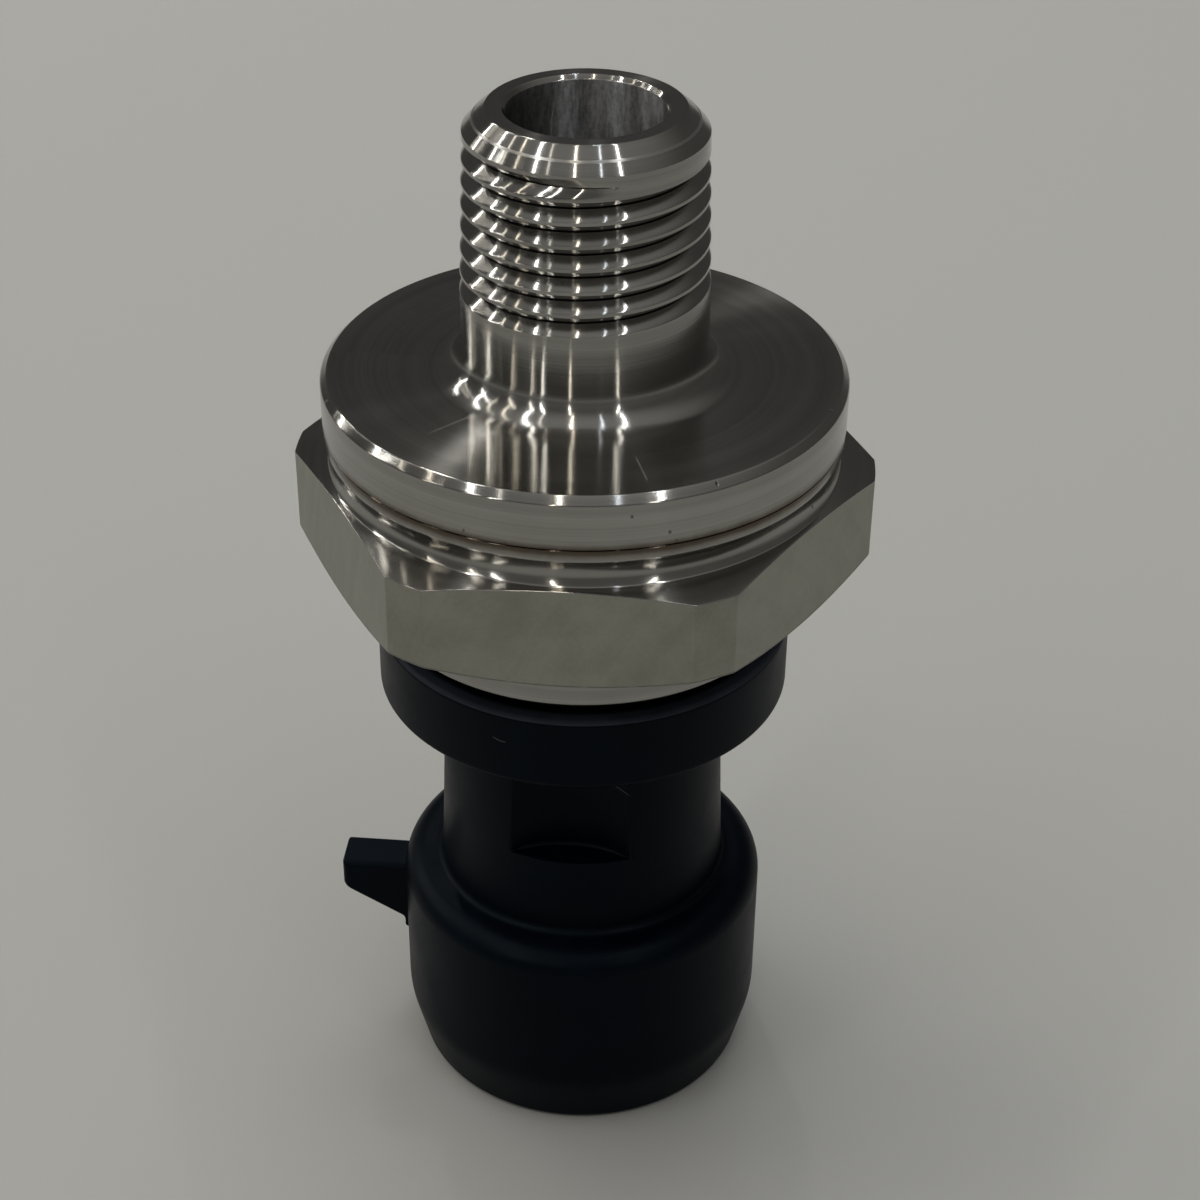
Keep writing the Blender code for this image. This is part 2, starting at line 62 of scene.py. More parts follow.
def softened(corners, cuts, arcSteps=4):
    # A corner becomes the curve (1-s)^2 A + 2 s (1-s) corner + s^2 B, where A and B lie its cut away along
    # its two sides. A support point on either side keeps the flats beside it flat in shading. A cut of 0
    # keeps the point.
    corners = np.asarray(corners, float)
    count = corners.shape[-2]
    s = np.linspace(0, 1, arcSteps + 1)[:, None]
    rows = []
    for i, cut in enumerate(cuts):
        here = corners[..., i, :]
        before, after = corners[..., i - 1, :], corners[..., (i + 1) % count, :]
        if cut == 0:
            rows.append(here[..., None, :])
            continue
        back, ahead = before - here, after - here
        backLength, aheadLength = np.maximum(lengthOf(back), 1e-9), np.maximum(lengthOf(ahead), 1e-9)
        near = np.minimum(cut, 0.4 * np.minimum(backLength, aheadLength))
        a, b = here + back / backLength * near, here + ahead / aheadLength * near
        curve = (1 - s) ** 2 * a[..., None, :] + 2 * s * (1 - s) * here[..., None, :] + s**2 * b[..., None, :]
        supportBack = a + back / backLength * np.minimum(near, 0.15 * backLength)
        supportAhead = b + ahead / aheadLength * np.minimum(near, 0.15 * aheadLength)
        rows.append(np.concatenate([supportBack[..., None, :], curve, supportAhead[..., None, :]], -2))
    return np.concatenate(rows, -2)


def spun(path, angles):
    # x = r cos a, y = r sin a, z = height, for every point (r, height) of the path and every angle a;
    # a path may also hold one row of points for each angle
    path = np.broadcast_to(path, (len(angles), *np.shape(path)[-2:]))
    r, z = path[..., 0], path[..., 1]
    return np.stack([r * np.cos(angles)[:, None], r * np.sin(angles)[:, None], z], -1)


def gridFaces(columns, rows, wrapRows):
    # Quads of a grid whose columns go once round; the last row joins the first one if wrapRows is set
    column = np.arange(columns)[:, None]
    row = np.arange(rows if wrapRows else rows - 1)[None, :]
    nextColumn, nextRow = (column + 1) % columns, (row + 1) % rows
    corners = (column * rows + row, nextColumn * rows + row,
               nextColumn * rows + nextRow, column * rows + nextRow)
    return np.stack(np.broadcast_arrays(*corners), -1).reshape(-1, 4)


def meshFrom(name, grids):
    # One closed mesh from (points, faces) pairs: doubles are merged, then normals are turned outwards
    starts = np.cumsum([0] + [len(points) for points, _ in grids])
    points = np.concatenate([points for points, _ in grids])
    faces = np.concatenate([faces + start for (_, faces), start in zip(grids, starts)])
    mesh = bpy.data.meshes.new(name)
    mesh.vertices.add(len(points))
    mesh.vertices.foreach_set("co", points.astype(np.float32).ravel())
    mesh.loops.add(faces.size)
    mesh.loops.foreach_set("vertex_index", faces.astype(np.int32).ravel())
    mesh.polygons.add(len(faces))
    mesh.polygons.foreach_set("loop_start", np.arange(0, faces.size, 4, dtype=np.int32))
    mesh.update(calc_edges=True)
    shape = bmesh.new()
    shape.from_mesh(mesh)
    bmesh.ops.remove_doubles(shape, verts=shape.verts, dist=1e-7)
    bmesh.ops.dissolve_degenerate(shape, edges=shape.edges, dist=1e-8)
    bmesh.ops.recalc_face_normals(shape, faces=shape.faces)
    shape.to_mesh(mesh)
    shape.free()
    return mesh


def addPiece(name, mesh, material, sharpAngle, replaced=()):
    mesh.materials.append(material)
    mesh.shade_smooth()
    mesh.set_sharp_from_angle(angle=np.radians(sharpAngle))
    piece = bpy.data.objects.new(name, mesh)
    bpy.context.scene.collection.objects.link(piece)
    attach(piece, "root")
    if replaced:
        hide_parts(*replaced)
    return piece


# Material tools

class Finish:
    # A material's node tree with short calls that add one node each and hand back its output

    def __init__(self, name, **sockets):
        self.material = bpy.data.materials.new(name)
        self.material.use_nodes = True
        self.tree = self.material.node_tree
        self.shader = self.tree.nodes["Principled BSDF"]
        self.feed(self.shader, sockets)

    def feed(self, node, sockets):
        for key, value in sockets.items():
            socket = node.inputs[key]
            if isinstance(value, bpy.types.NodeSocket):
                self.tree.links.new(value, socket)
            else:
                socket.default_value = value

    def add(self, kind, sockets=None, **settings):
        node = self.tree.nodes.new(kind)
        for key, value in settings.items():
            setattr(node, key, value)
        self.feed(node, sockets or {})
        return node

    def calc(self, operation, *values):
        node = self.add("ShaderNodeMath", operation=operation)
        self.feed(node, dict(enumerate(values)))
        return node.outputs[0]

    def place(self):
        return self.add("ShaderNodeTexCoord").outputs["Object"]

    def parts(self, vector):
        return self.add("ShaderNodeSeparateXYZ", {0: vector}).outputs

    def joined(self, x, y, z):
        return self.add("ShaderNodeCombineXYZ", {0: x, 1: y, 2: z}).outputs[0]

    def stretched(self, vector, scale):
        return self.add("ShaderNodeMapping", {"Vector": vector, "Scale": scale}).outputs[0]

    def noise(self, vector, scale, detail=3.0, roughness=0.55):
        sockets = {"Vector": vector, "Scale": scale, "Detail": detail, "Roughness": roughness}
        return self.add("ShaderNodeTexNoise", sockets).outputs[0]

    def cells(self, vector, scale, dimensions="3D"):
        sockets = {"Vector": vector, "Scale": scale}
        return self.add("ShaderNodeTexVoronoi", sockets, voronoi_dimensions=dimensions).outputs

    def distance(self, first, second):
        node = self.add("ShaderNodeVectorMath", {0: first, 1: second}, operation="DISTANCE")
        return node.outputs["Value"]

    def fromAxis(self, x, y):
        # Radius = square root of x^2 + y^2
        return self.calc("SQRT", self.calc("ADD", self.calc("MULTIPLY", x, x), self.calc("MULTIPLY", y, y)))

    def gap(self, value, level):
        return self.calc("ABSOLUTE", self.calc("SUBTRACT", value, level))

    def spread(self, value, low, high, toLow=0.0, toHigh=1.0):
        sockets = {"Value": value, "From Min": low, "From Max": high, "To Min": toLow, "To Max": toHigh}
        return self.add("ShaderNodeMapRange", sockets, interpolation_type="SMOOTHSTEP").outputs[0]

    def mixed(self, share, first, second):
        node = self.add("ShaderNodeMix", data_type="RGBA")
        self.feed(node, {0: share, 6: first, 7: second})
        return node.outputs[2]

    def bumped(self, height, strength, distance, under=None):
        sockets = {"Height": height, "Strength": strength, "Distance": distance}
        if under:
            sockets["Normal"] = under
        return self.add("ShaderNodeBump", sockets).outputs[0]


def colour(r, g, b):
    return (r, g, b, 1.0)


# Camera, at the photograph's viewing angle

view = dict(location=(0.00771, -0.08653, 0.08140), pitch=33.49, roll=0.33, lens=71.28, shiftX=0.01383)
cameraPlace = Vector(view["location"])
levelGaze = Vector((-cameraPlace.x, -cameraPlace.y, 0)).normalized()
pitch = np.radians(view["pitch"])
gaze = levelGaze * np.cos(pitch) + Vector((0, 0, -np.sin(pitch)))
cameraData = bpy.data.cameras.new("camera")
cameraData.lens = view["lens"]
cameraData.sensor_width = 36
cameraData.shift_x = view["shiftX"]
cameraData.clip_start = 0.005
cameraData.clip_end = 20
camera = bpy.data.objects.new("camera", cameraData)
bpy.context.scene.collection.objects.link(camera)
camera.rotation_mode = "QUATERNION"
camera.location = cameraPlace
camera.rotation_quaternion = gaze.to_track_quat("-Z", "Y") @ Quaternion((0, 0, 1), np.radians(view["roll"]))
bpy.context.scene.camera = camera
cameraAzimuth = np.arctan2(cameraPlace.y, cameraPlace.x)
print("camera placed")


# Finishes

turnedLook = dict(
    pale=colour(0.38, 0.37, 0.345), dark=colour(0.27, 0.26, 0.24), stain=colour(0.07, 0.05, 0.033),
    roughness=0.135, grooveScale=6500, grooveHeight=0.0016 * mm, grooveLean=1.7, grooveTwist=0.06 * mm,
    grit=14000, gritHeight=0.0004 * mm,
    # The pale mark colour serves both the disc's real scratches and the painted highlight along the tip's
    # edge
    pitScale=620, pitSize=0.05, pitShare=0.3, pitDepth=0.04 * mm, lighter=colour(0.62, 0.61, 0.58),
    boreDark=colour(0.15, 0.15, 0.15), borePale=colour(0.36, 0.36, 0.36), boreRoughness=0.30, boreTurn=3 * mm,
    boreReach=(3.45 * mm, 3.2 * mm), boreMouth=(46.64 * mm, 46.59 * mm), wallReach=(10.4 * mm, 10.7 * mm),
    wallRadius=10.9 * mm, stainReach=(0.55 * mm, 0.16 * mm), stainWave=0.22 * mm, stainWaveScale=900,
    tipEdgeReach=(0.06 * mm, 0.02 * mm), tipEdgeRadius=(4.1 * mm, 4.2 * mm),
    discTop=2.33 * mm, discReach=(0.2 * mm, 0.1 * mm), scratchWidth=(0.05 * mm, 0.01 * mm),
    scratches=[(2.6, -7.3, 3.3, -9.4), (-5.7, -6.6, -3.9, -4.7)],
)


def scratchMask(made, x, y, ends, width):
    # Across = distance from the line through both ends, along = distance from its middle, in metres
    start, end = np.array(ends[:2]) * mm, np.array(ends[2:]) * mm
    middle, way = (start + end) / 2, (end - start) / np.linalg.norm(end - start)
    fromX, fromY = made.calc("SUBTRACT", x, middle[0]), made.calc("SUBTRACT", y, middle[1])
    along = made.calc("ADD", made.calc("MULTIPLY", fromX, way[0]), made.calc("MULTIPLY", fromY, way[1]))
    across = made.calc("SUBTRACT", made.calc("MULTIPLY", fromX, way[1]), made.calc("MULTIPLY", fromY, way[0]))
    half = np.linalg.norm(end - start) / 2
    line = made.spread(made.calc("ABSOLUTE", across), *width)
    return made.calc("MULTIPLY", line, made.spread(made.calc("ABSOLUTE", along), half, half * 0.6))


def turnedSteel(name, look, jointHeight):
    # Lathe marks run round the axis: the groove height is noise along radius + lean * height
    made = Finish(name, Metallic=1.0, Anisotropic=1.0)
    made.feed(made.shader, {"Anisotropic Rotation": 0.25})
    tangent = made.add("ShaderNodeTangent", direction_type="RADIAL", axis="Z").outputs[0]
    made.feed(made.shader, {"Tangent": tangent})
    place = made.place()
    x, y, z = made.parts(place)
    radius = made.fromAxis(x, y)
    along = made.calc("ADD", radius, made.calc("MULTIPLY", z, look["grooveLean"]))
    angle = made.calc("ARCTAN2", y, x)
    rings = made.joined(along, 0.0, made.calc("MULTIPLY", angle, look["grooveTwist"]))
    fine = made.noise(rings, look["grooveScale"], 1.0, 0.6)
    broad = made.noise(rings, look["grooveScale"] * 0.2, 2.0, 0.6)
    cloud = made.noise(place, 190, 3.0, 0.55)
    shares = made.calc("ADD", made.calc("MULTIPLY", fine, 0.45), made.calc("MULTIPLY", broad, 0.55))
    shares = made.calc("ADD", shares, made.calc("MULTIPLY", cloud, 0.35))
    tint = made.mixed(made.spread(shares, 0.4, 0.95), look["dark"], look["pale"])
    # Small dark pits on the disc's wall and the weld band, laid out on the unrolled wall
    wall = made.spread(radius, *look["wallReach"])
    unrolled = made.joined(made.calc("MULTIPLY", angle, look["wallRadius"]), z, 0.0)
    dots = made.cells(unrolled, look["pitScale"], "2D")
    spot = made.spread(dots["Distance"], look["pitSize"], look["pitSize"] * 0.4)
    chosen = made.calc("LESS_THAN", made.parts(dots["Color"])[0], look["pitShare"])
    pit = made.calc("MULTIPLY", made.calc("MULTIPLY", spot, chosen), wall)
    # Heat stain in the weld joint, wavy along its edge
    wave = made.calc("MULTIPLY", made.noise(unrolled, look["stainWaveScale"], 3.0, 0.6), look["stainWave"])
    fromJoint = made.calc("ADD", made.gap(z, jointHeight), wave)
    stain = made.calc("MULTIPLY", made.spread(fromJoint, *look["stainReach"]), wall)
    marked = made.calc("MAXIMUM", made.calc("MULTIPLY", pit, 0.6), made.calc("MULTIPLY", stain, 0.9))
    shaded = made.mixed(marked, tint, look["stain"])
    # A pale line along the edge between the tip's two bands is a painted highlight where that edge catches
    # light; the edge is also made duller
    tipEdge = made.spread(made.gap(z, portHigh.z - port["coneHeight"]), *look["tipEdgeReach"])
    edgeHighlight = made.calc("MULTIPLY", tipEdge, made.spread(radius, *look["tipEdgeRadius"]))
    shaded = made.mixed(made.calc("MULTIPLY", edgeHighlight, 0.6), shaded, look["lighter"])
    # Light scratches on the disc's top
    onDisc = made.spread(made.gap(z, jointHeight + look["discTop"]), *look["discReach"])
    scratched = 0.0
    for ends in look["scratches"]:
        scratched = made.calc("MAXIMUM", scratched, scratchMask(made, x, y, ends, look["scratchWidth"]))
    scratched = made.calc("MULTIPLY", scratched, onDisc)
    shaded = made.mixed(made.calc("MULTIPLY", scratched, 0.12), shaded, look["lighter"])
    # Bore left rough by the drill, with streaks down its wall
    belowMouth = made.spread(z, *look["boreMouth"])
    inBore = made.calc("MULTIPLY", made.spread(radius, *look["boreReach"]), belowMouth)
    wrapped = made.joined(made.calc("MULTIPLY", made.calc("COSINE", angle), look["boreTurn"]),
                          made.calc("MULTIPLY", made.calc("SINE", angle), look["boreTurn"]),
                          made.calc("MULTIPLY", z, 0.22))
    streaks = made.noise(wrapped, 4200, 4.0, 0.7)
    grit = made.noise(place, 5200, 3.0, 0.7)
    rubbed = made.spread(made.calc("ADD", streaks, made.calc("MULTIPLY", grit, 0.4)), 0.45, 1.0)
    shaded = made.mixed(inBore, shaded, made.mixed(rubbed, look["boreDark"], look["borePale"]))
    rough = made.calc("ADD", look["roughness"], made.calc("MULTIPLY", inBore, look["boreRoughness"]))
    rough = made.calc("ADD", rough, made.spread(cloud, 0.35, 0.75, -0.015, 0.02))
    dull = made.calc("MAXIMUM", made.calc("MULTIPLY", scratched, 0.4), edgeHighlight)
    rough = made.calc("ADD", rough, made.calc("MULTIPLY", dull, 0.25))
    coarse = made.calc("ADD", made.calc("MULTIPLY", streaks, 14.0), made.calc("MULTIPLY", grit, 10.0))
    height = made.calc("ADD", fine, made.calc("MULTIPLY", inBore, coarse))
    gritty = made.bumped(made.noise(place, look["grit"], 1.0, 0.5), 1.0, look["gritHeight"])
    marks = made.bumped(height, 1.0, look["grooveHeight"], gritty)
    pitted = made.bumped(made.calc("SUBTRACT", 1.0, pit), 0.6, look["pitDepth"], marks)
    made.feed(made.shader, {"Base Color": shaded, "Roughness": rough, "Normal": pitted})
    return made.material


milledLook = dict(
    pale=colour(0.335, 0.332, 0.287), dark=colour(0.255, 0.252, 0.215), roughness=0.40, grain=5200,
    grainHeight=0.003 * mm, arcCentre=(0.030, -0.040, 0.012), arcScale=1700,
    burr=colour(0.05, 0.05, 0.045), burrReach=(0.09 * mm, 0.05 * mm),
)
cornerLook = dict(
    milledLook, pale=colour(0.315, 0.310, 0.268), dark=colour(0.235, 0.230, 0.196), roughness=0.30,
)


def milledSteel(name, look):
    # Mottled satin, with faint arcs that the cutter left: noise along the distance from a point
    made = Finish(name, Metallic=1.0)
    place = made.place()
    cloud = made.noise(place, 420, 5.0, 0.6)
    mottle = made.noise(place, look["grain"], 3.0, 0.65)
    fromCutter = made.distance(place, look["arcCentre"])
    arcs = made.noise(made.joined(fromCutter, 0.0, 0.0), look["arcScale"], 2.0, 0.6)
    shares = made.calc("ADD", cloud, made.calc("MULTIPLY", mottle, 0.35))
    shares = made.calc("ADD", shares, made.calc("MULTIPLY", arcs, 0.45))
    rough = made.spread(cloud, 0.3, 0.8, look["roughness"] - 0.03, look["roughness"] + 0.05)
    # A burr darkens the lower edge. Height above the cone under the hexagon = z - start - radius * slope,
    # where start is the height at which that cone would meet the axis.
    x, y, z = made.parts(place)
    radius = made.fromAxis(x, y)
    slope = np.tan(np.radians(housing["underSlope"]))
    start = housingLow.z + housing["bossHeight"] - housing["bossRadius"] * slope
    above = made.calc("SUBTRACT", made.calc("SUBTRACT", z, start), made.calc("MULTIPLY", radius, slope))
    burr = made.calc("MULTIPLY", made.spread(above, *look["burrReach"]), made.spread(arcs, 0.3, 0.5))
    tint = made.mixed(made.spread(shares, 0.55, 1.2), look["dark"], look["pale"])
    made.feed(made.shader, {
        "Base Color": made.mixed(made.calc("MULTIPLY", burr, 0.6), tint, look["burr"]),
        "Roughness": rough, "Normal": made.bumped(mottle, 1.0, look["grainHeight"]),
    })
    return made.material


plasticLook = dict(
    base=colour(0.0002, 0.0016, 0.0044), lighter=colour(0.0010, 0.0032, 0.0070), dust=colour(0.16, 0.17, 0.18),
    # The collar edge's colour is partly scuffs and partly a painted sheen
    roughness=0.40, grain=7000, grainHeight=0.004 * mm, scuffAndSheen=colour(0.05, 0.055, 0.075),
    scuffSheenHeight=(0.16 * mm, 0.12 * mm), scuffSheenRadius=(8.2 * mm, 8.5 * mm), fibreWidth=(0.04 * mm, 0.01 * mm),
    fibres=[(-109.5, 22.57, -105.3, 22.45, -0.05), (-80, 18.15, -65, 17.65, 0.12),
            (-104.5, 18.5, -102, 18.3, 0.0)],
    speckScale=420, speckSize=(0.055, 0.03), speckShare=0.035,
)


def fibreMask(made, angle, z, fibre, width):
    # A hair from one angle and height to another, in degrees and mm: height = straight line + 4 bow t (1 - t)
    start, low, end, high, bow = fibre
    t = made.calc("DIVIDE", made.calc("SUBTRACT", angle, np.radians(start)), np.radians(end - start))
    rise = made.calc("MULTIPLY", made.calc("MULTIPLY", t, made.calc("SUBTRACT", 1.0, t)), 4 * bow * mm)
    line = made.calc("ADD", made.calc("ADD", made.calc("MULTIPLY", t, (high - low) * mm), low * mm), rise)
    onHair, withinEnds = made.spread(made.gap(z, line), *width), made.spread(made.gap(t, 0.5), 0.5, 0.35)
    return made.calc("MULTIPLY", onHair, withinEnds)


def mouldedPlastic(name, look, collarTop):
    made = Finish(name, Metallic=0.0)
    made.feed(made.shader, {"Specular IOR Level": 0.07, "Specular Tint": colour(0.75, 0.92, 1.0), "IOR": 1.5})
    place = made.place()
    cloud = made.noise(place, 320, 5.0, 0.6)
    grain = made.noise(place, look["grain"], 3.0, 0.6)
    tint = made.mixed(made.spread(cloud, 0.35, 0.85), look["base"], look["lighter"])
    # Dust: a few small specks and hairs
    dots = made.cells(place, look["speckScale"])
    speck = made.spread(dots["Distance"], *look["speckSize"])
    chosen = made.calc("LESS_THAN", made.parts(dots["Color"])[1], look["speckShare"])
    dusty = made.calc("MULTIPLY", made.calc("MULTIPLY", speck, chosen), 0.55)
    x, y, z = made.parts(place)
    angle = made.calc("ARCTAN2", y, x)
    for fibre in look["fibres"]:
        hair = fibreMask(made, angle, z, fibre, look["fibreWidth"])
        dusty = made.calc("MAXIMUM", dusty, made.calc("MULTIPLY", hair, 0.45))
    # The collar's upper edge is painted paler: partly scuffs, partly a painted sheen, made bright enough to
    # show through the hexagon's shadow
    nearTop = made.spread(made.gap(z, collarTop), *look["scuffSheenHeight"])
    scuffSheen = made.calc("MULTIPLY", nearTop, made.spread(cloud, 0.2, 0.6, 0.6, 1.0))
    scuffSheen = made.calc("MULTIPLY", scuffSheen, made.spread(made.fromAxis(x, y), *look["scuffSheenRadius"]))
    tint = made.mixed(scuffSheen, tint, look["scuffAndSheen"])
    rough = made.spread(cloud, 0.3, 0.8, look["roughness"] - 0.04, look["roughness"] + 0.08)
    made.feed(made.shader, {
        "Base Color": made.mixed(dusty, tint, look["dust"]), "Roughness": rough,
        "Normal": made.bumped(grain, 1.0, look["grainHeight"]),
    })
    return made.material


def innerFinish(name, first, second, roughness, metallic, scale, height, stretch=(1, 1, 1)):
    # A part inside the housing: two close tints clouded together, with a grain of the given scale and height
    made = Finish(name, Metallic=metallic)
    place = made.stretched(made.place(), stretch)
    cloud = made.noise(place, scale * 0.2, 4.0, 0.6)
    grain = made.noise(place, scale, 3.0, 0.6)
    made.feed(made.shader, {
        "Base Color": made.mixed(made.spread(cloud, 0.3, 0.7), first, second),
        "Roughness": made.spread(grain, 0.2, 0.8, roughness - 0.05, roughness + 0.08),
        "Normal": made.bumped(grain, 1.0, height),
    })
    return made.material


# Pressure port: one turning with a taper thread

portLow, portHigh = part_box("pressure_port")
housingLow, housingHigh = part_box("hex_housing")
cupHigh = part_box("sensing_cup")[1]

port = dict(
    columns=256, boreRadius=3.15 * mm, boreEdge=0.16 * mm, tipFace=0.62 * mm, coneHeight=0.45 * mm,
    leadHeight=0.45 * mm, nippleRadius=5.08 * mm, nippleLength=11.19 * mm, filletRadius=1.25 * mm,
    discHeight=2.26 * mm, discEdge=0.3 * mm, spigotRadius=8.0 * mm, recessClearance=0.15 * mm,
    tipStep=0.06 * mm,
)
jointHeight = (housingHigh.z + portHigh.z - port["nippleLength"] - port["discHeight"]) / 2
# The thread starts at an angle in degrees. Its flats are shares of the pitch, and its fades and its overrun
# past the tip's edge are shares of a turn.
thread = dict(
    length=7.07 * mm, taper=1 / 16, pitch=0.943 * mm, depth=0.70 * mm, start=280 / 3,
    crestFlat=0.14, rootFlat=0.04, flankRows=[0, 0.08, 0.3, 0.52, 0.74, 0.97, 1],
    flankCorners=[0, 0.08, 0.97, 1], flankDepths=[0, 0.03, 0.63, 1],
    footFade=0.3, tipFade=0.2, tipOverrun=0.07,
)


def threadGrid(angles, top, bottom):
    # Rows climb with the helix: height in turns = turn + phase + share of the circle, kept between foot and
    # tip. Radius = cone - depth * groove * fade, where the cone is the nipple's radius less half the taper
    # times the height, and groove climbs from 0 at the crest's flat to 1 at the root's flat, evenly between
    # its corners.
    turns = (top - bottom) / thread["pitch"]
    flankSpan = 1 - thread["crestFlat"] - thread["rootFlat"]
    flank = (thread["crestFlat"] + flankSpan * np.array(thread["flankRows"])) / 2
    phases = np.concatenate([flank, 1 - flank[::-1]])
    climb = (np.arange(-2, np.ceil(turns) + 1)[:, None] + phases).ravel()
    share = (angles - angles[0])[:, None] / (2 * np.pi)
    height = np.clip(climb + share, 0, turns)
    # How far along its helix the groove is, in turns: it fades in at the foot and out at the tip
    along = np.floor(height - share) + share
    away = 2 * np.minimum(height - along, np.minimum(along + 1, turns) - height)
    onFlank = (away - thread["crestFlat"]) / flankSpan
    groove = np.interp(onFlank, thread["flankCorners"], thread["flankDepths"])
    left = turns - 1 + thread["tipOverrun"] - along
    fade = np.clip(np.minimum(along / thread["footFade"], left / thread["tipFade"]), 0, 1)
    fade = fade * fade * (3 - 2 * fade)
    z = bottom + thread["pitch"] * height
    r = port["nippleRadius"] - (z - bottom) * thread["taper"] / 2 - thread["depth"] * groove * fade
    points = np.stack([r * np.cos(angles)[:, None], r * np.sin(angles)[:, None], z], -1)
    # After one turn a row has become the row one pitch higher
    columns, rows = z.shape
    column = np.arange(columns)[:, None]
    row = np.arange(rows - 1)[None, :]
    shift = np.where(column == columns - 1, len(phases), 0)
    beside = np.minimum(row + shift, rows - 1)
    besideUp = np.minimum(row + 1 + shift, rows - 1)
    nextColumn = (column + 1) % columns
    corners = (column * rows + row, nextColumn * rows + beside,
               nextColumn * rows + besideUp, column * rows + row + 1)
    faces = np.stack(np.broadcast_arrays(*corners), -1).reshape(-1, 4)
    return points.reshape(-1, 3), faces


def makePort():
    angles = np.radians(thread["start"]) + circleAngles(port["columns"])
    top, bottom = portHigh.z, portLow.z
    discTop = top - port["nippleLength"]
    discUnder = discTop - port["discHeight"]
    discRadius = portHigh.x
    leadBottom = top - port["coneHeight"] - port["leadHeight"]
    threadBottom = leadBottom - thread["length"]
    leadRadius = port["nippleRadius"] - thread["length"] * thread["taper"] / 2
    tipOuter = port["boreRadius"] + port["boreEdge"] + port["tipFace"]
    fillet = port["filletRadius"]
    recessRadius = cupHigh.x + port["recessClearance"]
    recessTop = cupHigh.z + port["recessClearance"]
    tipMiddle = (tipOuter + leadRadius) / 2 + port["tipStep"]
    above = np.array([(leadRadius, leadBottom), (tipMiddle, top - port["coneHeight"]), (tipOuter, top),
                      (port["boreRadius"] + port["boreEdge"], top),
                      (port["boreRadius"], top - port["boreEdge"]), (port["boreRadius"], recessTop),
                      (recessRadius, recessTop), (recessRadius, bottom), (port["spigotRadius"], bottom),
                      (port["spigotRadius"], discUnder), (discRadius, discUnder),
                      (discRadius, discTop - port["discEdge"]), (discRadius - port["discEdge"], discTop)])
    cuts = np.array([0, 0.012, 0.05, 0.03, 0.03, 0.05, 0.05, 0.05, 0.05, 0.05, 0.05, 0.05, 0.05]) * mm
    curve = arcPoints((port["nippleRadius"] + fillet, discTop + fillet), fillet, 270, 180, 14)
    foot = np.array([(port["nippleRadius"], threadBottom)])
    corners = np.concatenate([above, curve, foot])
    path = softened(corners, np.concatenate([cuts, np.zeros(len(curve) + 1)]))
    rest = spun(path, angles)
    faces = gridFaces(len(angles), rest.shape[1], False)
    mesh = meshFrom("portBody", [(rest.reshape(-1, 3), faces), threadGrid(angles, leadBottom, threadBottom)])
    steel = turnedSteel("turnedSteel", turnedLook, jointHeight)
    return addPiece("portBody", mesh, steel, 30, ["pressure_port"])


makePort()
print("port turned and threaded")


# Hexagon housing: a turned bar with six milled flats

housing = dict(
    columns=192, boreRadius=7.8 * mm, bossRadius=8.95 * mm, bossHeight=1.69 * mm, bossEdge=0.25 * mm,
    lipRadius=7.15 * mm, lipThickness=0.6 * mm, hexagonHeight=3.62 * mm, topSlope=13.8, underSlope=23.5,
    footRadius=10.75 * mm, bandRadius=10.85 * mm, bandHeight=0.5 * mm, reliefDepth=0.24 * mm,
    seatRadius=8.15 * mm, seatDepth=1.65 * mm, cornerBlend=0.012 * mm, weldRise=0.11 * mm,
)


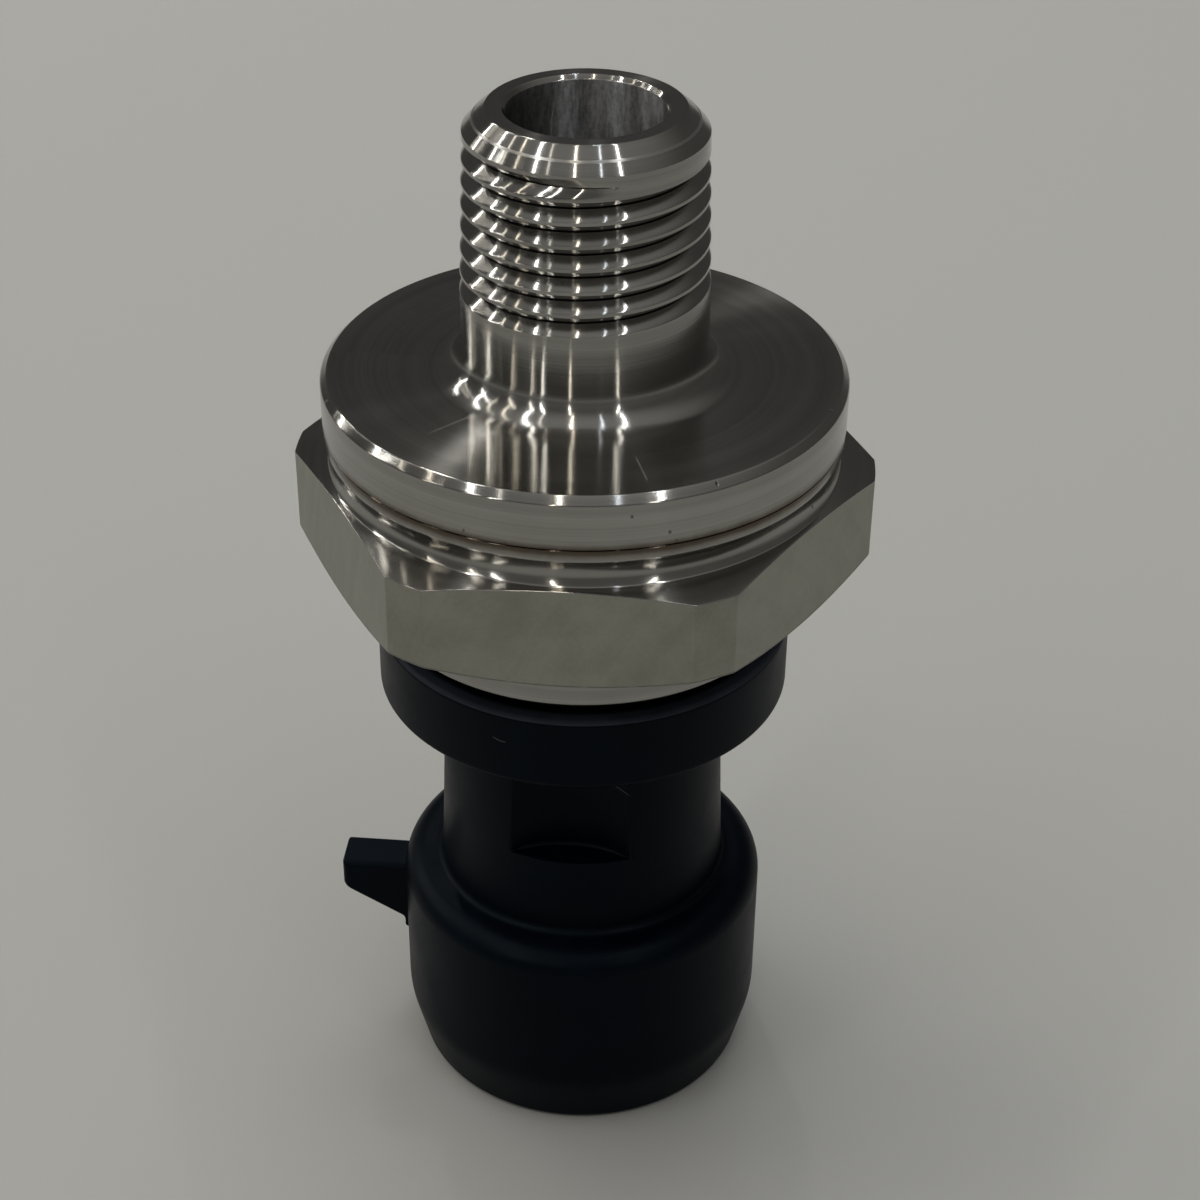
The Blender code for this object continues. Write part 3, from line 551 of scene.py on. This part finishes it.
def makeHousing():
    # Outer radius at an angle d from the middle of a flat: the smaller of flat / cos d and the bar's radius,
    # blended as (a + b - sqrt((a - b)^2 + w^2)) / 2. Each column's profile follows that radius.
    flat, bar = housingHigh.y, housingHigh.x
    edge = np.degrees(np.arccos(flat / bar))
    near = np.array([-0.9, -0.4, -0.2, -0.08, 0.0, 0.08, 0.2, 0.4, 0.9])
    middles = np.arange(6)[:, None, None] * 60 + 30
    extra = (middles + np.array([-edge, edge])[None, :, None] + near).ravel() % 360
    even = np.degrees(circleAngles(housing["columns"]))
    angles = np.radians(np.unique(np.round(np.concatenate([even, extra]), 5)))
    fromFlat = angles % np.radians(60) - np.radians(30)
    a, b = flat / np.cos(fromFlat), np.full(len(angles), bar)
    outer = (a + b - np.sqrt((a - b) ** 2 + housing["cornerBlend"] ** 2)) / 2
    bottom, top = housingLow.z, housingHigh.z + housing["weldRise"]
    bossTop = bottom + housing["bossHeight"]
    underSlope, topSlope = np.tan(np.radians(housing["underSlope"])), np.tan(np.radians(housing["topSlope"]))
    cornerBottom = bossTop + (bar - housing["bossRadius"]) * underSlope
    reliefBottom = cornerBottom + housing["hexagonHeight"] + (bar - housing["footRadius"]) * topSlope
    reliefTop = top - housing["bandHeight"]
    t = np.linspace(0, 1, 9)
    sink = housing["reliefDepth"] * 4 * t * (1 - t)
    relief = np.stack([housing["footRadius"] + (housing["bandRadius"] - housing["footRadius"]) * t - sink,
                       reliefBottom + (reliefTop - reliefBottom) * t], -1)
    lower = np.array([(housing["lipRadius"], bottom), (housing["bossRadius"] - housing["bossEdge"], bottom),
                      (housing["bossRadius"], bottom + housing["bossEdge"]),
                      (housing["bossRadius"], bossTop)])
    wall = np.stack([np.stack([outer, bossTop + (outer - housing["bossRadius"]) * underSlope], -1),
                     np.stack([outer, reliefBottom - (outer - housing["footRadius"]) * topSlope], -1)], 1)
    upper = np.array([(housing["bandRadius"], top), (housing["seatRadius"], top),
                      (housing["seatRadius"], top - housing["seatDepth"]),
                      (housing["boreRadius"], top - housing["seatDepth"]),
                      (housing["boreRadius"], bottom + housing["lipThickness"]),
                      (housing["lipRadius"], bottom + housing["lipThickness"])])
    count = len(angles)
    sections = [lower, wall, relief, upper]
    corners = np.concatenate([np.broadcast_to(rows, (count, *rows.shape[-2:])) for rows in sections], 1)
    cuts = np.array([0.05, 0.04, 0.04, 0.03, 0.03, 0.03, 0.06] + [0] * 7 + [0.06, 0.05] + [0.05] * 5) * mm
    path = softened(corners, cuts)
    grid = spun(path, angles)
    mesh = meshFrom("housingBody", [(grid.reshape(-1, 3), gridFaces(count, grid.shape[1], True))])
    steel = turnedSteel("housingSteel", turnedLook, jointHeight)
    piece = addPiece("housingBody", mesh, steel, 30, ["hex_housing"])
    # The hexagon's upright faces are satin: faces outside the flats' distance whose normal is level. Its
    # corners are what is left of the bar.
    mesh.materials.append(milledSteel("milledSteel", milledLook))
    mesh.materials.append(milledSteel("cornerSteel", cornerLook))
    normals = np.empty(len(mesh.polygons) * 3, np.float32)
    centres = np.empty(len(mesh.polygons) * 3, np.float32)
    mesh.polygons.foreach_get("normal", normals)
    mesh.polygons.foreach_get("center", centres)
    normals, centres = normals.reshape(-1, 3), centres.reshape(-1, 3)
    reach = np.hypot(centres[:, 0], centres[:, 1])
    upright = (np.abs(normals[:, 2]) < 0.05) & (reach > flat - 0.03 * mm)
    finish = np.where(upright, np.where(reach > bar - 0.02 * mm, 2, 1), 0)
    mesh.polygons.foreach_set("material_index", finish.astype(np.int32))
    return piece


makeHousing()
print("hexagon milled")


# Plug body: spigot, collar, neck and socket in one black moulding

plug = dict(
    columns=240, socketRadius=6.7 * mm, socketDepth=8.8 * mm, rimRadius=7.67 * mm, rimEdge=0.2 * mm,
    shroudRadius=8.3 * mm, taperHeight=2.72 * mm, shroudHeight=10.34 * mm, shroudEdge=1.1 * mm,
    footRadius=6.5 * mm, footFillet=0.35 * mm, neckRadius=6.15 * mm, neckHeight=9.94 * mm,
    collarRadius=9.0 * mm, collarHeight=3.55 * mm, collarEdge=0.3 * mm, collarTopEdge=0.15 * mm,
    lipGrooveRadius=7.0 * mm, lipGrooveTop=25.24 * mm, flangeRadius=7.65 * mm, flangeThickness=0.55 * mm,
    grooveRadius=6.1 * mm, grooveWidth=1.6 * mm, cavityRadius=4.6 * mm, cavityMouth=0.9 * mm,
    webTop=12.6 * mm, pocketRadius=5.0 * mm, pocketFloor=5.02 * mm, pocketLedge=3.9 * mm,
    pocketHeadroom=0.2 * mm, pocketBlend=0.01 * mm, pinGap=0.15 * mm,
)
lock = dict(
    root=7.5 * mm, width=2.06 * mm, top=9.0 * mm, tipHeight=1.46 * mm, rootHeight=3.27 * mm, foot=0.6 * mm,
    edge=0.25 * mm,
)


def makePlug():
    # Turned profile, apart from the pocket. There the neck's radius at an angle d from the front is the
    # smaller of its own and c cos d - sqrt(R^2 - c^2 sin^2 d), the near side of an upright cylinder R whose
    # axis is c away, blended as (a + b - sqrt((a - b)^2 + w^2)) / 2.
    low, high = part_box("connector_body")
    ledge = plug["shroudHeight"] + plug["pocketLedge"]
    collarBottom = plug["shroudHeight"] + plug["neckHeight"]
    collarTop = collarBottom + plug["collarHeight"]
    pocketTop = collarBottom - plug["pocketHeadroom"]
    flangeTop = plug["lipGrooveTop"] + plug["flangeThickness"]
    grooveTop = flangeTop + plug["grooveWidth"]
    away = plug["pocketFloor"] + plug["pocketRadius"]
    neckMiddle = (plug["neckRadius"] + plug["footRadius"]) / 2
    cosine = (neckMiddle**2 + away**2 - plug["pocketRadius"] ** 2) / (2 * neckMiddle * away)
    reach = np.degrees(np.arccos(cosine))
    near = np.array([-1.5, -0.9, -0.5, -0.25, 0, 0.25, 0.5, 0.9, 1.5])
    extra = (270 + np.array([-reach, reach])[:, None] + near).ravel()
    even = np.degrees(circleAngles(plug["columns"]))
    angles = np.radians(np.unique(np.round(np.concatenate([even, extra]), 5)))
    count = len(angles)
    fromFront = (angles - np.radians(270) + np.pi) % (2 * np.pi) - np.pi
    inside = plug["pocketRadius"] ** 2 - (away * np.sin(fromFront)) ** 2
    facing = (inside > 0) & (np.abs(fromFront) < np.pi / 2)
    pocket = np.where(facing, away * np.cos(fromFront) - np.sqrt(np.maximum(inside, 0)), 1.0)
    heights = np.linspace(ledge, pocketTop, 7)
    neck = plug["footRadius"] + (plug["neckRadius"] - plug["footRadius"]) * (
        heights - plug["shroudHeight"]) / plug["neckHeight"]
    a, b = pocket[:, None], neck[None, :]
    inner = (a + b - np.sqrt((a - b) ** 2 + plug["pocketBlend"] ** 2)) / 2
    inner = np.where(facing[:, None], inner, b)
    window = np.stack([inner, np.broadcast_to(heights, inner.shape)], -1)
    s, f = plug["shroudEdge"], plug["footFillet"]
    lower = np.array([(0, plug["socketDepth"]), (plug["socketRadius"], plug["socketDepth"]),
                      (plug["socketRadius"], plug["rimEdge"]), (plug["socketRadius"] + plug["rimEdge"], 0),
                      (plug["rimRadius"] - plug["rimEdge"], 0), (plug["rimRadius"], plug["rimEdge"]),
                      (plug["shroudRadius"], plug["taperHeight"])])
    shoulder = arcPoints((plug["shroudRadius"] - s, plug["shroudHeight"] - s), s, 0, 90, 15)
    foot = arcPoints((plug["footRadius"] + f, plug["shroudHeight"] + f), f, 270, 180, 7)
    beside = np.array([(neck[0], ledge - 0.12 * mm), (neck[0], ledge)])
    under = np.array([(neck[-1], pocketTop), (plug["neckRadius"], collarBottom)])
    c, topEdge = plug["collarEdge"], plug["collarTopEdge"]
    upper = np.array([(plug["collarRadius"] - c, collarBottom), (plug["collarRadius"], collarBottom + c),
                      (plug["collarRadius"], collarTop - topEdge),
                      (plug["collarRadius"] - topEdge, collarTop),
                      (plug["lipGrooveRadius"], collarTop), (plug["lipGrooveRadius"], plug["lipGrooveTop"]),
                      (plug["flangeRadius"], plug["lipGrooveTop"]), (plug["flangeRadius"], flangeTop),
                      (plug["grooveRadius"], flangeTop), (plug["grooveRadius"], grooveTop),
                      (plug["flangeRadius"], grooveTop), (plug["flangeRadius"], high.z),
                      (plug["cavityRadius"] + plug["cavityMouth"], high.z),
                      (plug["cavityRadius"], high.z - plug["cavityMouth"]),
                      (plug["cavityRadius"], plug["webTop"]), (0, plug["webTop"])])
    sections = [lower, shoulder, foot, beside, window, under, upper]
    cutLists = [[0, 0.1, 0.06, 0.08, 0.08, 0.08, 0.5], [0] * 15, [0] * 7, [0, 0.03],
                [0.25] + [0] * 5 + [0.03], [0.03, 0.06],
                [0.1, 0.1, 0.12, 0.12, 0.1, 0.08] + [0.06] * 9 + [0]]
    corners = np.concatenate([np.broadcast_to(rows, (count, *rows.shape[-2:])) for rows in sections], 1)
    path = softened(corners, np.concatenate(cutLists) * mm)
    grid = spun(path, angles)
    mesh = meshFrom("plugBody", [(grid.reshape(-1, 3), gridFaces(count, grid.shape[1], False))])
    plastic = mouldedPlastic("blackPlastic", plasticLook, collarTop)
    piece = addPiece("plugBody", mesh, plastic, 30, ["connector_body"])
    joinSolid(piece, lockRamp(low.x), "UNION")
    for name in ("terminal_1", "terminal_2", "terminal_3"):
        joinSolid(piece, pinSlot(*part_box(name)), "DIFFERENCE")
    return piece


def lockRamp(tip):
    # An outline in x and z carried along y; towards both ends it shrinks by edge * (1 - cos a) as y turns
    # through the quarter circle edge * sin a
    top = lock["top"]
    wall = -np.sqrt(plug["shroudRadius"] ** 2 - (lock["width"] / 2) ** 2)
    foot = top - lock["rootHeight"]
    outline = np.array([(-lock["root"], top), (tip, top), (tip, top - lock["tipHeight"]), (wall, foot),
                        (wall, foot - lock["foot"]), (-lock["root"], foot - lock["foot"])])
    path = softened(outline, np.array([0.05, 0.12, 0.26, 0.56, 0.02, 0.05]) * mm, 6)
    middle = (path.max(0) + path.min(0)) / 2
    quarter = np.linspace(0, np.pi / 2, 5)
    half = lock["width"] / 2
    shrink = np.concatenate([1 - np.sin(quarter), (1 - np.sin(quarter))[::-1]])
    rounding = lock["edge"] * (1 - np.cos(quarter))
    along = np.concatenate([-half + rounding, half - rounding[::-1]])
    size = path.max(0) - path.min(0)
    scale = 1 - 2 * lock["edge"] * shrink[:, None, None] / size
    rings = middle + (path - middle) * scale
    points = np.stack([rings[..., 0], np.broadcast_to(along[:, None], rings.shape[:2]), rings[..., 1]], -1)
    return closedTube("lockRamp", points)


def pinSlot(low, high):
    # A slot through the socket's floor, wider than the pin by a gap on each side
    gap = plug["pinGap"]
    x0, x1, y0, y1 = low.x - gap, high.x + gap, low.y - gap, high.y + gap
    ring = np.array([(x0, y0), (x1, y0), (x1, y1), (x0, y1)])
    levels = np.array([plug["socketDepth"] - 1 * mm, plug["webTop"] + 1 * mm])
    points = np.stack([np.broadcast_to(ring[:, 0], (2, 4)), np.broadcast_to(ring[:, 1], (2, 4)),
                       np.broadcast_to(levels[:, None], (2, 4))], -1)
    return closedTube("pinSlot", points)


def closedTube(name, rings):
    # Rings of points joined in order, with a flat cap on the first and the last one
    count, around = rings.shape[:2]
    shape = bmesh.new()
    verts = [shape.verts.new(point) for point in rings.reshape(-1, 3)]
    for i in range(count - 1):
        for k in range(around):
            m = (k + 1) % around
            shape.faces.new((verts[i * around + k], verts[i * around + m], verts[(i + 1) * around + m],
                             verts[(i + 1) * around + k]))
    shape.faces.new(verts[:around])
    shape.faces.new(verts[-around:])
    bmesh.ops.recalc_face_normals(shape, faces=shape.faces)
    mesh = bpy.data.meshes.new(name)
    shape.to_mesh(mesh)
    shape.free()
    return mesh


def joinSolid(piece, mesh, operation):
    # A solid joined to the piece, or cut from it, for good
    tool = bpy.data.objects.new("tool", mesh)
    bpy.context.scene.collection.objects.link(tool)
    step = piece.modifiers.new("join", "BOOLEAN")
    step.operation = operation
    step.object = tool
    graph = bpy.context.evaluated_depsgraph_get()
    result = bpy.data.meshes.new_from_object(piece.evaluated_get(graph))
    piece.modifiers.clear()
    piece.data = result
    bpy.data.objects.remove(tool)


makePlug()
print("plug body moulded")


# Inner pieces, which keep their own solids

inner = {
    "sensing_cup": innerFinish(
        "cupSteel", colour(0.50, 0.49, 0.46), colour(0.40, 0.39, 0.37), 0.28, 1.0, 3000, 2e-6),
    "board_carrier": innerFinish(
        "carrierPlastic", colour(0.05, 0.05, 0.05), colour(0.035, 0.035, 0.037), 0.5, 0.0, 4000, 4e-6),
    "circuit_board": innerFinish(
        "laminate", colour(0.02, 0.13, 0.05), colour(0.03, 0.17, 0.07), 0.42, 0.0, 2500, 2e-6),
    "signal_chip": innerFinish(
        "blackResin", colour(0.02, 0.02, 0.021), colour(0.03, 0.03, 0.032), 0.5, 0.0, 6000, 3e-6),
    "capacitor": innerFinish(
        "ceramic", colour(0.45, 0.33, 0.22), colour(0.36, 0.26, 0.17), 0.45, 0.0, 5000, 3e-6),
    "strain_gauge": innerFinish(
        "silicon", colour(0.16, 0.16, 0.19), colour(0.11, 0.11, 0.14), 0.2, 0.3, 5000, 1e-6),
    "bond_wire": innerFinish(
        "goldWire", colour(0.83, 0.62, 0.25), colour(0.76, 0.54, 0.20), 0.22, 1.0, 6000, 1e-6),
    "terminal": innerFinish(
        "tinnedBrass", colour(0.66, 0.64, 0.58), colour(0.55, 0.53, 0.47), 0.28, 1.0, 3500, 2e-6,
        (1, 1, 0.2)),
    "lead_wire": innerFinish(
        "leadInsulation", colour(0.35, 0.03, 0.03), colour(0.28, 0.02, 0.02), 0.5, 0.0, 3000, 3e-6),
    "potting_disc": innerFinish(
        "potting", colour(0.03, 0.03, 0.035), colour(0.02, 0.02, 0.024), 0.3, 0.0, 1500, 6e-6),
    "body_seal_ring": innerFinish(
        "sealRubber", colour(0.02, 0.02, 0.02), colour(0.03, 0.03, 0.03), 0.6, 0.0, 4000, 4e-6),
}
inner["resistor"] = inner["signal_chip"]
for name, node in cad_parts.items():
    for start, material in inner.items():
        if name.startswith(start):
            node.data.materials.clear()
            node.data.materials.append(material)
print("inner pieces finished")


# Floor, world and lamps

studio = dict(floor=colour(0.46, 0.46, 0.435), floorCloud=colour(0.47, 0.47, 0.445), halfFloor=3.0)
floorMesh = bpy.data.meshes.new("floor")
half = studio["halfFloor"]
floorCorners = [(-half, -half, 0), (half, -half, 0), (half, half, 0), (-half, half, 0)]
floorMesh.from_pydata(floorCorners, [], [(0, 1, 2, 3)])
floor = bpy.data.objects.new("floor", floorMesh)
bpy.context.scene.collection.objects.link(floor)
paper = Finish("floorPaper", Roughness=0.8)
paper.feed(paper.shader, {"Specular IOR Level": 0.1})
cloud = paper.noise(paper.place(), 9, 2.0, 0.5)
paper.feed(paper.shader, {"Base Color": paper.mixed(cloud, studio["floor"], studio["floorCloud"])})
floorMesh.materials.append(paper.material)

# Brightness of the surroundings = low + (high - low) * smooth step of the height + front * the way's share
# towards the camera
sky = dict(low=0.115, high=0.34, from_=0.45, to=1.0, front=0.04, tint=colour(1.0, 0.985, 0.96))
world = bpy.data.worlds.new("studio")
bpy.context.scene.world = world
world.use_nodes = True
tree = world.node_tree
background = tree.nodes["Background"]
direction = tree.nodes.new("ShaderNodeTexCoord")
dot = tree.nodes.new("ShaderNodeVectorMath")
dot.operation = "DOT_PRODUCT"
dot.inputs[1].default_value = (np.cos(cameraAzimuth), np.sin(cameraAzimuth), 0)
split = tree.nodes.new("ShaderNodeSeparateXYZ")
climb = tree.nodes.new("ShaderNodeMapRange")
climb.interpolation_type = "SMOOTHSTEP"
climb.inputs["From Min"].default_value = sky["from_"]
climb.inputs["From Max"].default_value = sky["to"]
climb.inputs["To Min"].default_value = sky["low"]
climb.inputs["To Max"].default_value = sky["high"]
level = tree.nodes.new("ShaderNodeMath")
level.operation = "MULTIPLY_ADD"
level.inputs[1].default_value = sky["front"]
tree.links.new(direction.outputs["Generated"], dot.inputs[0])
tree.links.new(direction.outputs["Generated"], split.inputs[0])
tree.links.new(split.outputs["Z"], climb.inputs["Value"])
tree.links.new(dot.outputs["Value"], level.inputs[0])
tree.links.new(climb.outputs[0], level.inputs[2])
tree.links.new(level.outputs[0], background.inputs["Strength"])
background.inputs["Color"].default_value = sky["tint"]

# Lamp strips, each hung where a turned face at the given angle from the camera mirrors it to the camera:
# direction = 2 (n . v) n - v, with n the face's normal and v the way to the camera. An overhead strip runs
# between the directions for normals tilted up by its two tilts. A low one stands at twice the angle, between
# two elevations.
strips = dict(
    distance=0.9, width=0.012, tilts=(40, 68), elevations=(18, 42),
    overhead=[(-66, 0.5, (1.0, 0.98, 0.95)), (-50, 0.6, (1.0, 0.98, 0.94)), (-42, 0.12, (1.0, 0.95, 0.85)),
              (-34, 0.15, (1.0, 0.93, 0.8)), (-24, 0.8, (1.0, 1.0, 1.0)), (-17.5, 0.08, (1.0, 0.97, 0.9)),
              (-5, 0.35, (1.0, 0.93, 0.82)), (7, 0.15, (0.8, 0.88, 1.0)), (16, 0.6, (0.97, 0.98, 1.0))],
    low=[(-64, 0.08, (1.0, 0.95, 0.86)), (-60, 0.08, (1.0, 0.97, 0.92)), (-49, 0.3, (1.0, 1.0, 0.98)),
         (-34, 0.2, (1.0, 0.94, 0.84)), (-24, 0.22, (1.0, 0.97, 0.9)), (-19, 0.4, (1.0, 1.0, 1.0)),
         (-6.5, 0.3, (1.0, 0.95, 0.87)), (15, 0.3, (1.0, 0.98, 0.95))],
)
# Rounder lamps behind: way towards the camera, right and up, size, power and tint
backLamps = [((-0.679, -0.161, 0.717), 0.035, 0.35, (1.0, 0.98, 0.95)),
             ((-0.598, 0.037, 0.801), 0.03, 0.15, (0.8, 0.9, 1.0))]
softLamp = dict(back=0.4, height=0.65, size=0.6, power=1.6)
aim = Vector((0, 0, 0.03))
towards = Vector((np.cos(cameraAzimuth), np.sin(cameraAzimuth), 0))
rightward = Vector((-towards.y, towards.x, 0))


def addLamp(name, place, size, power, tint=(1, 1, 1), along=None):
    # A square lamp that faces the aim, or a strip as long as the vector along and as wide as size
    data = bpy.data.lights.new(name, "AREA")
    data.size = size
    data.energy = power
    data.color = tint
    lamp = bpy.data.objects.new(name, data)
    bpy.context.scene.collection.objects.link(lamp)
    lamp.location = place
    back = (Vector(place) - aim).normalized()
    up = Vector(along or (0, 0, 1))
    if along:
        data.shape = "RECTANGLE"
        data.size_y = up.length
    side = up.cross(back).normalized()
    lamp.rotation_mode = "QUATERNION"
    lamp.rotation_quaternion = Matrix((side, back.cross(side), back)).transposed().to_quaternion()
    return lamp


def wayOf(angle, elevation):
    flat = towards * np.cos(np.radians(angle)) + rightward * np.sin(np.radians(angle))
    return flat * np.cos(np.radians(elevation)) + Vector((0, 0, np.sin(np.radians(elevation))))


def mirrored(normal):
    return 2 * normal.dot(-gaze) * normal + gaze


for number, (angle, power, tint) in enumerate(strips["overhead"]):
    first, last = (mirrored(wayOf(angle, tilt)) * strips["distance"] for tilt in strips["tilts"])
    addLamp(f"overhead{number}", (first + last) / 2, strips["width"], power, tint, last - first)
for number, (angle, power, tint) in enumerate(strips["low"]):
    first, last = (wayOf(2 * angle, elevation) * strips["distance"] for elevation in strips["elevations"])
    low = addLamp(f"low{number}", (first + last) / 2, strips["width"], power, tint, last - first)
    low.visible_diffuse = False
for number, ((back, right, up), size, power, tint) in enumerate(backLamps):
    addLamp(f"back{number}", towards * back + rightward * right + Vector((0, 0, up)), size, power, tint)
softPlace = Vector((0, 0, softLamp["height"])) - towards * softLamp["back"]
soft = addLamp("soft", softPlace, softLamp["size"], softLamp["power"])
soft.visible_glossy = False

bpy.context.scene.view_settings.view_transform = "Standard"
print("studio lit")
